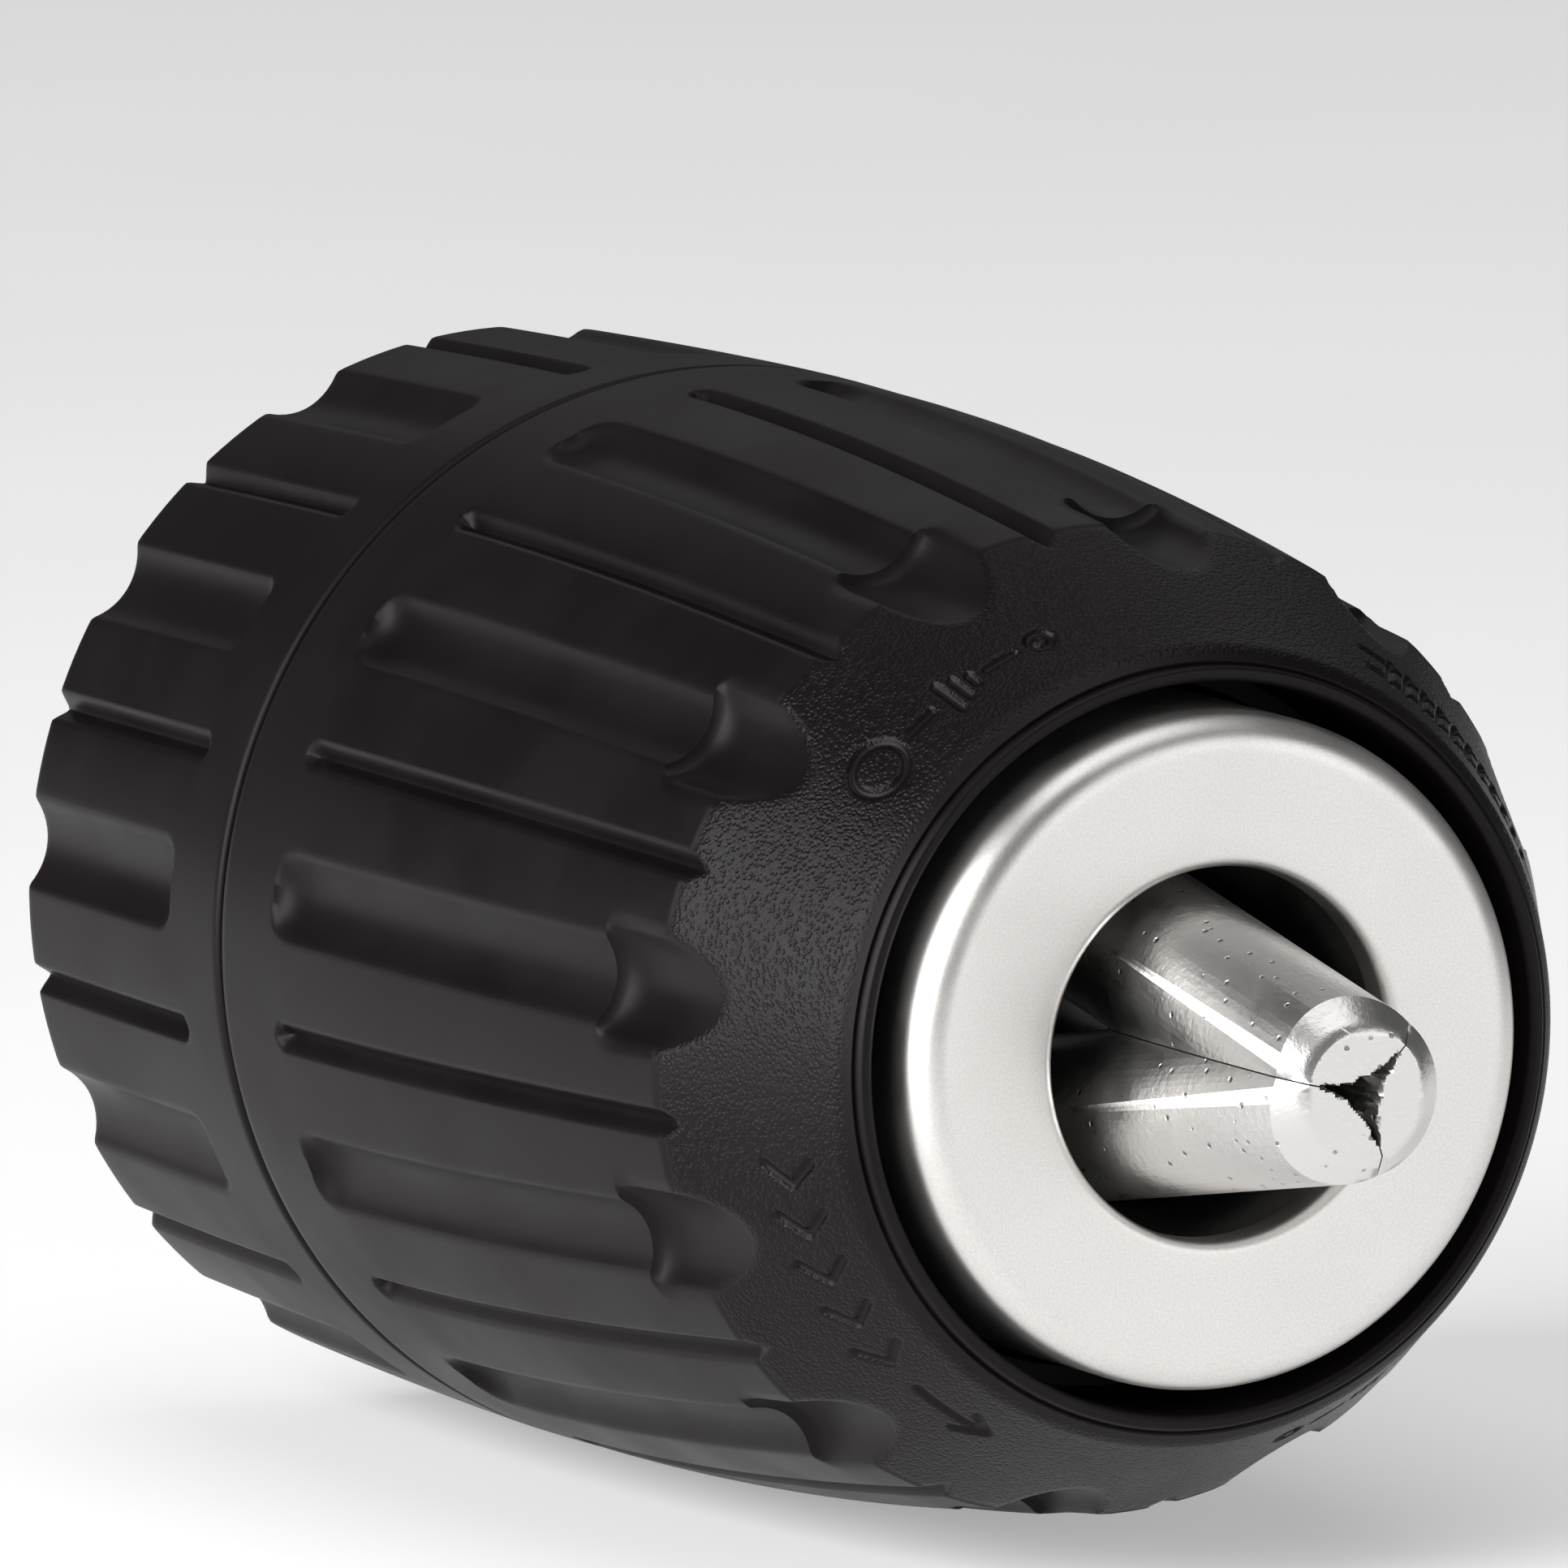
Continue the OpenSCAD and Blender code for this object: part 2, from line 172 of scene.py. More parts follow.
class ChuckColours(bpy.types.PropertyGroup):
    plastic: colour("Plastic", "Colour of the moulded sleeves", (0.0052, 0.0034, 0.0037))
    cap: colour("Cap", "Colour of the bead-blasted cap", (0.74, 0.72, 0.70))
    jaw: colour("Jaws", "Colour of the jaw steel", (0.70, 0.69, 0.675))
    body: colour("Body", "Colour of the oiled body", (0.09, 0.088, 0.085))
    nut: colour("Nut", "Colour of the turned nut and its shell", (0.42, 0.41, 0.40))
    race: colour("Races", "Colour of the ground races and balls", (0.62, 0.62, 0.63))
    cage: colour("Cage", "Colour of the brass cage", (0.58, 0.40, 0.14))
    zinc: colour("Cover", "Colour of the zinc-plated cover", (0.56, 0.57, 0.58))
    floor: colour("Floor", "Colour of the floor", (0.90, 0.90, 0.90))


class ChuckStage(bpy.types.PropertyGroup):
    azimuth: turn("Azimuth", "Turn of the camera about the upright axis", -26.93)
    elevation: turn("Elevation", "Height of the camera as an angle", 8.11)
    distance: length("Distance", "Distance of the camera from the point it looks at", 1549.6)
    lens: bpy.props.FloatProperty(
        name="Lens", description="Focal length of the camera", default=916.0, min=1.0, unit="CAMERA"
    )
    aim: bpy.props.FloatVectorProperty(
        name="Aim", description="Point that the camera looks at", default=(-0.00513, -0.03621, 0.00738),
        size=3, subtype="XYZ", unit="LENGTH",
    )
    world: share("Surroundings", "Brightness of the room round the stage", 0.10)
    sky: share("Background", "Brightness of the plain background", 1.0)
    key: light_level("Key light", "Brightness of the softbox on the left", 6.5)
    front: light_level("Front light", "Brightness of the panel in front", 1.32)
    top: light_level("Top light", "Brightness of the panel overhead", 1.4)
    back: light_level("Back light", "Brightness of the panel behind", 0.3)


# Mesh helpers -----------------------------------------------------------------------------------

# Distances within which points are one point, lie on a cut, on the flat of the tips or on the bore's wall
MERGE = 1e-7
ON_CUT = 1e-8
ON_FACE = 1e-6
ON_WALL = 0.03 * MM


def soft_min(a, b, soft):
    """The lower of two heights, with a rounded corner where they meet."""
    blend = max(soft - abs(a - b), 0.0) / soft
    return min(a, b) - blend * blend * soft / 4


def quarter(share_in):
    """A quarter circle's rise: steep at 0 and level at 1."""
    t = min(max(share_in, 0.0), 1.0)
    return math.sqrt(1.0 - (1.0 - t) ** 2)


def steps(start, end, count):
    """Evenly spaced values from start up to, and not including, end."""
    return [start + (end - start) * i / count for i in range(count)]


def finish_piece(bm, name, body, material, nodes):
    """Makes a piece from a bmesh, lays it down, and gives it its body, slot, finish and replaced nodes."""
    bmesh.ops.remove_doubles(bm, verts=bm.verts, dist=MERGE)
    bmesh.ops.recalc_face_normals(bm, faces=bm.faces)
    bmesh.ops.transform(bm, matrix=LAID, verts=bm.verts)
    mesh = bpy.data.meshes.new(name)
    bm.to_mesh(mesh)
    bm.free()
    piece = bpy.data.objects.new(name, mesh)
    bpy.context.scene.collection.objects.link(piece)
    mesh.materials.append(material)
    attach(piece, body)
    if nodes:
        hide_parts(*nodes)
    return piece


def spin_outline(bm, outline, columns):
    """Spins a closed outline of (radius, height) points about the axis. Returns the layer of row numbers."""
    row = bm.verts.layers.int.new("row")
    verts = [bm.verts.new((r, 0.0, z)) for r, z in outline]
    for i, vert in enumerate(verts):
        vert[row] = i
    edges = [bm.edges.new((verts[i], verts[(i + 1) % len(verts)])) for i in range(len(verts))]
    bmesh.ops.spin(
        bm, geom=verts + edges, cent=(0, 0, 0), axis=(0, 0, 1), dvec=(0, 0, 0), angle=math.tau, steps=columns,
        use_merge=True, use_normal_flip=False, use_duplicate=False,
    )
    bmesh.ops.remove_doubles(bm, verts=bm.verts, dist=MERGE)
    return row


# Sleeves ----------------------------------------------------------------------------------------

HALF_SECTOR_COLUMNS = 20
# Rounded corners: where a flute and a groove meet the surface, and at the bottom of a groove
EDGE_SOFT = 0.16 * MM
VEE_SOFT = 0.08 * MM
VEE_ROUND = 0.08 * MM
# Share of its radius over which a flute's floor is an arc, and the slope with which it goes on
ARC_SHARE = 0.98
STEEP = 3.0


def column_offset(index, reach, sizes):
    """Distance of a column from the middle of a wide flute. Columns crowd at the edges of a flute."""
    flute = sizes.flute_width / 2
    groove = reach - sizes.groove_width / 2
    soft = 0.15 * MM
    keys = ((0, 0.0), (5, flute - 2 * soft), (8, flute + soft), (10, sizes.tongue_width / 2),
            (14, groove - soft), (16, groove + soft), (HALF_SECTOR_COLUMNS, reach))
    for (i0, s0), (i1, s1) in zip(keys, keys[1:]):
        if index <= i1:
            return s0 + (s1 - s0) * (index - i0) / (i1 - i0)
    return reach


def shape_sleeve(bm, row, columns, outer, carve, sizes, start_turn):
    """Moves the columns of a spun sleeve to the flutes and its outside surface to the carved height."""
    sector = math.tau / sizes.flute_count
    for vert in bm.verts:
        radius = math.hypot(vert.co.x, vert.co.y)
        index = round(math.atan2(vert.co.y, vert.co.x) / math.tau * columns)
        middle, offset = divmod(index + HALF_SECTOR_COLUMNS, 2 * HALF_SECTOR_COLUMNS)
        offset -= HALF_SECTOR_COLUMNS
        reach = radius * sector / 2
        side = math.copysign(column_offset(abs(offset), reach, sizes), offset)
        angle = start_turn + middle * sector + side / radius
        if vert[row] < outer:
            radius = carve(radius, vert.co.z, abs(side), reach - abs(side))
        vert.co.x = radius * math.cos(angle)
        vert.co.y = radius * math.sin(angle)


def arc_rise(offset, width, depth):
    """Rise of a round flute's floor at a distance from its middle, which goes on as a steep slope."""
    bar = (width * width / 4 + depth * depth) / (2 * depth)
    inside = min(offset, bar * ARC_SHARE)
    return bar - math.sqrt(bar * bar - inside * inside) + (offset - inside) * STEEP


def vee_rise(offset, sizes):
    """Rise of a narrow groove's wall at a distance from its middle, where it is rounded."""
    return math.hypot(offset, VEE_ROUND) * sizes.groove_depth / (sizes.groove_width / 2)


# Engraved marks: strokes in millimetres, along the cone's circle and up its slope

MARK_HEIGHT = 2.5 * MM
STROKE = 0.17 * MM


def stroke_distance(x, y, a, b):
    """Distance from a point to a straight stroke."""
    dx, dy = b[0] - a[0], b[1] - a[1]
    t = ((x - a[0]) * dx + (y - a[1]) * dy) / (dx * dx + dy * dy)
    t = min(max(t, 0.0), 1.0)
    return math.hypot(x - a[0] - t * dx, y - a[1] - t * dy)


def ring_distance(x, y, centre, radius):
    """Distance from a point to a round stroke."""
    return abs(math.hypot(x - centre[0], y - centre[1]) - radius)


def size_mark():
    """A small and a large circle with growing bars between them: the smallest and the largest shank."""
    rings = [((-4.4 * MM, 0.0), 0.45 * MM), ((4.0 * MM, 0.0), 1.15 * MM)]
    lines = [((-3.2 * MM, 0.0), (-1.9 * MM, 0.0)), ((0.9 * MM, 0.0), (2.2 * MM, 0.0))]
    for bar in range(3):
        x = -1.2 * MM + bar * 0.6 * MM
        rise = 0.3 * MM + 0.3 * bar * MM
        lines.append(((x, -rise), (x, rise)))
    return rings, lines, 5.6 * MM


def thread_mark():
    """Slanted strokes between two rails: the screw thread of the spindle."""
    pitch = 0.95 * MM
    lines = [((i * pitch - 0.3 * MM, -1.05 * MM), (i * pitch + 0.3 * MM, 1.05 * MM)) for i in range(-5, 6)]
    lines += [((-6.0 * MM, y), (6.0 * MM, y)) for y in (-0.7 * MM, 0.7 * MM)]
    return [], lines, 6.6 * MM


def open_mark():
    """A row of chevrons and an arrow: the way to turn the sleeve to open the jaws."""
    lines = []
    for i in range(5):
        tip = -6.4 * MM + i * 2.1 * MM
        lines += [((tip - 0.9 * MM, 1.1 * MM), (tip, 0.0)), ((tip, 0.0), (tip - 0.9 * MM, -1.1 * MM))]
    point = (7.2 * MM, 0.0)
    lines += [((3.6 * MM, 0.0), point), ((6.1 * MM, 0.8 * MM), point), ((6.1 * MM, -0.8 * MM), point)]
    return [], lines, 7.8 * MM


# Where each mark stands on the cone, as the turn of its middle about the axis
MARKS = ((size_mark(), 124.0), (thread_mark(), 38.0), (open_mark(), 218.0), (size_mark(), 304.0))


def engrave(bm, sizes, cone_z, slope):
    """Cuts the marks into the nose cone, after its faces there are made finer."""
    middle_z = (cone_z + RIM) / 2 + 0.95 * MM
    middle_r = sizes.rim_radius + (RIM - middle_z) * math.tan(slope)
    low = middle_z - MARK_HEIGHT / 2 * math.cos(slope) - 0.2 * MM
    high = middle_z + MARK_HEIGHT / 2 * math.cos(slope) + 0.2 * MM

    def place(co, degrees):
        """Distance along the circle and up the slope from a mark's middle."""
        delta = math.atan2(co.y, co.x) - math.radians(degrees)
        delta = (delta + math.pi) % math.tau - math.pi
        return delta * middle_r, (co.z - middle_z) / math.cos(slope)

    for (rings, lines, reach), degrees in MARKS:
        faces = []
        for face in bm.faces:
            centre = face.calc_center_median()
            if low < centre.z < high and math.hypot(centre.x, centre.y) > sizes.mouth_radius + 0.6 * MM:
                if abs(place(centre, degrees)[0]) < reach:
                    faces.append(face)
        edges = list({edge for face in faces for edge in face.edges})
        made = bmesh.ops.subdivide_edges(bm, edges=edges, cuts=2, use_grid_fill=True)
        touched = {v for f in made["geom"] if isinstance(f, bmesh.types.BMFace) for v in f.verts}
        touched |= {v for v in made["geom_inner"] if isinstance(v, bmesh.types.BMVert)}
        inward = Vector((-math.cos(slope), 0.0, -math.sin(slope)))
        for vert in touched:
            x, y = place(vert.co, degrees)
            distances = [stroke_distance(x, y, start, end) for start, end in lines]
            distances += [ring_distance(x, y, middle, radius) for middle, radius in rings]
            near = min(distances)
            cut = min(max((STROKE * 1.5 - near) / STROKE, 0.0), 1.0)
            if cut > 0.0:
                depth = sizes.mark_depth * cut * cut * (3 - 2 * cut)
                turned = Matrix.Rotation(math.atan2(vert.co.y, vert.co.x), 3, "Z") @ inward
                vert.co += turned * depth


class CHUCK_OT_front_sleeve(bpy.types.Operator):
    """Makes the front sleeve, with its flutes, tongues, grooves, rim and engraved marks"""

    bl_idname = "chuck.front_sleeve"
    bl_label = "Front Sleeve"

    def execute(self, context):
        sizes = context.scene.chuck_sleeves
        flute_start = PARTING + sizes.plain_band
        cone_z = RIM - sizes.cone_height
        cone_r = sizes.radius - sizes.front_drop
        slope = math.atan2(cone_r - sizes.rim_radius, sizes.cone_height)
        step_z = cone_z - 4.0 * MM
        step_l = 1.4 * MM
        step_h = sizes.tongue_depth - sizes.flute_depth + 0.1 * MM
        tongue_end = cone_z + 2.9 * MM
        groove_end = cone_z + 1.0 * MM

        def barrel(z):
            t = min(max((z - flute_start) / (cone_z - flute_start), 0.0), 1.0)
            return sizes.radius - 0.05 * MM - (sizes.front_drop - 0.05 * MM) * t**1.8

        def cone(z):
            return cone_r - (z - cone_z) * math.tan(slope)

        def carve(radius, z, offset, from_groove):
            if z < flute_start or z > RIM - 0.5 * MM:
                return radius
            run = (z - flute_start) / (1.7 * MM)
            floor = barrel(z) - sizes.flute_depth * quarter(run)
            flute = floor + arc_rise(offset, sizes.flute_width, sizes.flute_depth)
            if z > cone_z:
                flute = radius
            tongue = radius + MM
            if z > step_z:
                fall = (z - step_z) / (tongue_end - step_z)
                start_r = barrel(step_z + step_l) - sizes.tongue_depth
                floor = start_r + (cone(tongue_end) - start_r) * fall
                floor += (1 - quarter((z - step_z) / step_l)) * step_h
                tongue = floor + arc_rise(offset, sizes.tongue_width, sizes.tongue_depth)
            depth = sizes.groove_depth * quarter((z - flute_start - 0.1 * MM) / (0.7 * MM))
            bottom = barrel(min(z, cone_z)) - depth
            if z > cone_z:
                rise = cone(groove_end) - cone_r + depth
                bottom = cone_r - depth + rise * (z - cone_z) / (groove_end - cone_z)
            groove = bottom + vee_rise(from_groove, sizes)
            height = soft_min(radius, flute, EDGE_SOFT)
            height = soft_min(height, tongue, EDGE_SOFT)
            return soft_min(height, groove, VEE_SOFT)

        outer = [(sizes.radius - 0.22 * MM, PARTING), (sizes.radius - 0.08 * MM, PARTING + 0.06 * MM),
                 (sizes.radius, PARTING + 0.2 * MM), (sizes.radius, PARTING + 0.5 * MM),
                 (sizes.radius - 0.02 * MM, PARTING + 2.2 * MM)]
        heights = steps(flute_start - 0.2 * MM, flute_start + 2.0 * MM, 13)
        heights += steps(flute_start + 2.0 * MM, step_z - 0.4 * MM, 16)
        heights += steps(step_z - 0.4 * MM, step_z + 1.8 * MM, 12)
        heights += steps(step_z + 1.8 * MM, cone_z - 0.1 * MM, 7)
        outer += [(barrel(z), z) for z in heights]
        outer += [(barrel(cone_z - 0.1 * MM), cone_z - 0.1 * MM), (cone_r - 0.035 * MM, cone_z + 0.02 * MM)]
        outer += [(cone(z), z) for z in steps(cone_z + 0.15 * MM, tongue_end + 0.3 * MM, 13)]
        outer += [(cone(z), z) for z in steps(tongue_end + 0.3 * MM, RIM - 0.9 * MM, 12)]
        rim = sizes.rim_radius
        mouth = sizes.mouth_radius
        lips = [(cone(RIM - 0.9 * MM) - 0.02 * MM, RIM - 0.9 * MM), (rim + 0.16 * MM, RIM - 0.62 * MM),
                (rim + 0.02 * MM, RIM - 0.46 * MM), (rim - 0.08 * MM, RIM - 0.36 * MM),
                (rim - 0.16 * MM, RIM - 0.38 * MM), (rim - 0.22 * MM, RIM - 0.42 * MM),
                (rim - 0.27 * MM, RIM - 0.28 * MM), (rim - 0.33 * MM, RIM - 0.08 * MM),
                (rim - 0.42 * MM, RIM), (mouth + 0.3 * MM, RIM), (mouth + 0.12 * MM, RIM - 0.06 * MM),
                (mouth, RIM - 0.25 * MM)]
        bore = CAP_RADIUS + 0.31 * MM
        skirt = RACE_RADIUS + 0.25 * MM
        lip = SHELL_RADIUS - 1.4 * MM
        shell_front = NUT_FRONT + 0.2 * MM
        inner = [(mouth, CAP_REAR - 1.0 * MM), (bore, CAP_REAR - 1.0 * MM), (bore, shell_front + 7.0 * MM),
                 (lip, shell_front + 4.0 * MM), (lip, shell_front), (SHELL_RADIUS, shell_front),
                 (SHELL_RADIUS, NUT_REAR - 0.3 * MM), (skirt, NUT_REAR - 0.3 * MM), (skirt, PARTING)]
        columns = 2 * HALF_SECTOR_COLUMNS * sizes.flute_count
        bm = bmesh.new()
        row = spin_outline(bm, outer + lips + inner, columns)
        shape_sleeve(bm, row, columns, len(outer), carve, sizes, sizes.front_turn)
        engrave(bm, sizes, cone_z, slope)
        piece = finish_piece(bm, "front_sleeve_moulding", "sleeve",
                             plastic_material(context), ["front_sleeve"])
        shade(piece, 50)
        return {"FINISHED"}


class CHUCK_OT_rear_sleeve(bpy.types.Operator):
    """Makes the rear sleeve, with its open flutes and blunt grooves"""

    bl_idname = "chuck.rear_sleeve"
    bl_label = "Rear Sleeve"

    def execute(self, context):
        sizes = context.scene.chuck_sleeves
        flute_end = REAR_FRONT - sizes.plain_band
        tail_r = 12.2 * MM
        wall_z = COVER_FRONT + 1.8 * MM
        cavity_r = sizes.radius - 1.975 * MM
        cavity_z = flute_end - 1.75 * MM

        def outside(z):
            t = (z - REAR_FACE) / (REAR_FRONT - REAR_FACE)
            rounding = max(1 - (z - REAR_FACE) / (0.8 * MM), 0.0) ** 2.2
            return sizes.radius - 0.55 * MM * (1 - t) ** 1.5 - 0.5 * MM * rounding

        def carve(radius, z, offset, from_groove):
            run = quarter((flute_end - z) / (1.1 * MM))
            flute = radius - sizes.flute_depth * run
            flute += arc_rise(offset, sizes.flute_width + 0.2 * MM, sizes.flute_depth)
            blunt = quarter((flute_end + 1.0 * MM - z) / (0.5 * MM))
            groove = radius - sizes.groove_depth * blunt
            groove += vee_rise(from_groove, sizes)
            height = soft_min(radius, flute, EDGE_SOFT) if run > 0 else radius
            return soft_min(height, groove, VEE_SOFT) if blunt > 0 else height

        heights = [REAR_FACE] + [REAR_FACE + d * MM for d in (0.05, 0.12, 0.22, 0.35, 0.5, 0.7, 1.0)]
        heights += steps(REAR_FACE + 1.6 * MM, flute_end - 1.6 * MM, 12)
        heights += steps(flute_end - 1.6 * MM, flute_end + 1.4 * MM, 20)
        heights += steps(flute_end + 1.4 * MM, REAR_FRONT - 0.5 * MM, 4)
        outer = [(outside(z), z) for z in heights]
        radius = sizes.radius
        outer += [(radius, REAR_FRONT - 0.5 * MM), (radius, REAR_FRONT - 0.2 * MM),
                  (radius - 0.08 * MM, REAR_FRONT - 0.06 * MM), (radius - 0.22 * MM, REAR_FRONT)]
        inner = [(RACE_RADIUS, REAR_FRONT), (RACE_RADIUS, cavity_z), (cavity_r, cavity_z), (cavity_r, wall_z),
                 (tail_r, wall_z), (tail_r, COVER_FRONT), (COVER_RADIUS, COVER_FRONT),
                 (COVER_RADIUS, REAR_FACE + 0.1 * MM), (COVER_RADIUS + 0.1 * MM, REAR_FACE),
                 (radius - 2.6 * MM, REAR_FACE)]
        columns = 2 * HALF_SECTOR_COLUMNS * sizes.flute_count
        bm = bmesh.new()
        row = spin_outline(bm, outer + inner, columns)
        shape_sleeve(bm, row, columns, len(outer), carve, sizes, sizes.rear_turn)
        piece = finish_piece(bm, "rear_sleeve_moulding", "chuck",
                             plastic_material(context), ["rear_sleeve"])
        shade(piece, 50)
        return {"FINISHED"}


# Nose cap ---------------------------------------------------------------------------------------


def arc_points(centre, radius, start, end, count):
    """Points of an arc in the outline's plane, from a start to an end angle in degrees."""
    return [
        (centre[0] + radius * math.cos(math.radians(start + (end - start) * i / count)),
         centre[1] + radius * math.sin(math.radians(start + (end - start) * i / count)))
        for i in range(count + 1)
    ]


class CHUCK_OT_nose_cap(bpy.types.Operator):
    """Makes the drawn nose cap, with its round edge and rolled hole"""

    bl_idname = "chuck.nose_cap"
    bl_label = "Nose Cap"

    def execute(self, context):
        cap = context.scene.chuck_cap
        edge, sheet, lip = cap.edge_radius, cap.sheet, cap.lip_radius
        inner_edge = max(edge - sheet, 0.1 * MM)
        roll_r = cap.hole_radius + 0.8 * sheet
        outline = [(CAP_RADIUS, CAP_REAR + 0.15 * MM)]
        outline += arc_points((CAP_RADIUS - edge, CAP_FACE - edge), edge, 0, 90, 16)
        face_radii = steps(CAP_RADIUS - edge - 0.3 * MM, cap.hole_radius + lip + 0.2 * MM, 6)
        outline += [(radius, CAP_FACE) for radius in face_radii]
        outline += arc_points((cap.hole_radius + lip, CAP_FACE - lip), lip, 90, 180, 8)
        outline += [(cap.hole_radius, CAP_FACE - cap.roll), (roll_r, CAP_FACE - cap.roll),
                    (roll_r, CAP_FACE - sheet)]
        outline += [(CAP_RADIUS - edge, CAP_FACE - sheet)]
        outline += arc_points((CAP_RADIUS - edge, CAP_FACE - edge), inner_edge, 90, 0, 4)[1:]
        outline += [(CAP_RADIUS - sheet, CAP_REAR), (CAP_RADIUS - 0.15 * MM, CAP_REAR)]
        bm = bmesh.new()
        spin_outline(bm, outline, 288)
        piece = finish_piece(bm, "nose_cap_drawn", "chuck",
                             cap_material(context), ["nose_cap"])
        shade(piece, 40)
        return {"FINISHED"}


# Jaws and body ----------------------------------------------------------------------------------

TIP = nose_end("jaw_1")
# Turn about the axis of one seam between closed jaws, and from each seam to the next
FIRST_SEAM = math.radians(46.7)
SEAM_STEP = math.tau / 3
TIP_CELL = 0.11 * MM
# The ragged edge of the wear: size of its noise, how far it wanders at a seam and at the middle, its slope
RAGGED_CELL = 0.35 * MM
RAGGED_SEAM = 0.16 * MM
RAGGED_MIDDLE = 0.1 * MM
WEAR_WALL = 0.16 * MM
# The spindle thread: its plain mouth, its first cut, the cuts in each turn, and half of a groove in turns
THREAD_MOUTH = 0.2 * MM
THREAD_START = 0.3 * MM
THREAD_CUTS = 6
THREAD_FLANK = 0.42


def node_copy(name):
    """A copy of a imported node's mesh with its doubles merged, standing about the chuck's own axis."""
    bm = bmesh.new()
    bm.from_mesh(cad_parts[name].data)
    bmesh.ops.remove_doubles(bm, verts=bm.verts, dist=MERGE)
    bmesh.ops.transform(bm, matrix=LAID.inverted(), verts=bm.verts)
    return bm


def slice_faces(bm, wanted, planes):
    """Cuts the wanted faces along each plane, given as a point and a normal."""
    for point, normal in planes:
        faces = [face for face in bm.faces if wanted(face)]
        edges = {edge for face in faces for edge in face.edges}
        verts = {vert for face in faces for vert in face.verts}
        geometry = faces + list(edges) + list(verts)
        bmesh.ops.bisect_plane(bm, geom=geometry, dist=ON_CUT, plane_co=point, plane_no=normal)


def wear(x, y, reach, width, depth):
    """Depth of the broken corners where the three tips meet: a ragged star along the seams."""
    radius = math.hypot(x, y)
    nearest = (math.atan2(y, x) - FIRST_SEAM + SEAM_STEP / 2) % SEAM_STEP - SEAM_STEP / 2
    ragged = noise.noise(Vector((x, y, 0.0)) / RAGGED_CELL)
    half = width * (1 - radius / reach) + RAGGED_SEAM * ragged
    along_seam = half - radius * abs(math.sin(nearest))
    at_middle = width * 1.4 + RAGGED_MIDDLE * ragged - radius
    inside = max(along_seam, at_middle)
    if radius > reach or inside <= 0:
        return 0.0
    return depth * min(inside / WEAR_WALL, 1.0)


class CHUCK_OT_jaws(bpy.types.Operator):
    """Makes the three jaws, with the broken corners of their tips"""

    bl_idname = "chuck.jaws"
    bl_label = "Jaws"

    def execute(self, context):
        jaws = context.scene.chuck_jaws
        reach = jaws.wear_reach
        count = math.ceil(reach / TIP_CELL)

        def on_tip(face):
            return all(vert.co.z > TIP - ON_FACE for vert in face.verts)

        grid = [i * TIP_CELL for i in range(-count, count + 1)]
        planes = [((d, 0, 0), (1, 0, 0)) for d in grid] + [((0, d, 0), (0, 1, 0)) for d in grid]
        for index, body in enumerate(("jaw_a", "jaw_b", "jaw_c"), start=1):
            node = f"jaw_{index}"
            bm = node_copy(node)
            slice_faces(bm, on_tip, planes)
            for vert in bm.verts:
                if vert.co.z > TIP - ON_FACE:
                    vert.co.z -= wear(vert.co.x, vert.co.y, reach, jaws.wear_width, jaws.wear_depth)
            piece = finish_piece(bm, f"{node}_ground", body, jaw_material(context), [node])
            shade(piece, 18)
        return {"FINISHED"}


class CHUCK_OT_body(bpy.types.Operator):
    """Makes the body, with the turns of its spindle thread"""

    bl_idname = "chuck.body"
    bl_label = "Body"

    def execute(self, context):
        body = context.scene.chuck_body_sizes
        pitch, minor = body.pitch, body.minor_radius
        deepest = body.bore_depth + 0.1 * MM

        def on_wall(vert):
            return abs(math.hypot(vert.co.x, vert.co.y) - minor) < ON_WALL

        def on_bore(face):
            return all(on_wall(vert) and vert.co.z < deepest for vert in face.verts)

        heights = steps(THREAD_START, body.thread_length, math.ceil(body.thread_length / pitch * THREAD_CUTS))
        bm = node_copy("chuck_body")
        slice_faces(bm, on_bore, [((0, 0, z), (0, 0, 1)) for z in heights])
        for vert in bm.verts:
            radius = math.hypot(vert.co.x, vert.co.y)
            if on_wall(vert) and THREAD_MOUTH < vert.co.z < body.thread_length:
                phase = (vert.co.z / pitch - math.atan2(vert.co.y, vert.co.x) / math.tau) % 1.0
                cut = max(1.0 - abs(phase - 0.5) / THREAD_FLANK, 0.0) * body.thread_height
                vert.co.xy *= (radius + cut) / radius
        colours = context.scene.chuck_colours
        material = turned_material("body_steel", colours.body, 0.42)
        piece = finish_piece(bm, "chuck_body_turned", "chuck", material, ["chuck_body"])
        shade(piece, 30)
        return {"FINISHED"}


# Finishes ---------------------------------------------------------------------------------------


def shade(piece, degrees):
    """Smooth shading, with edges over an angle kept sharp."""
    for polygon in piece.data.polygons:
        polygon.use_smooth = True
    piece.data.set_sharp_from_angle(angle=math.radians(degrees))


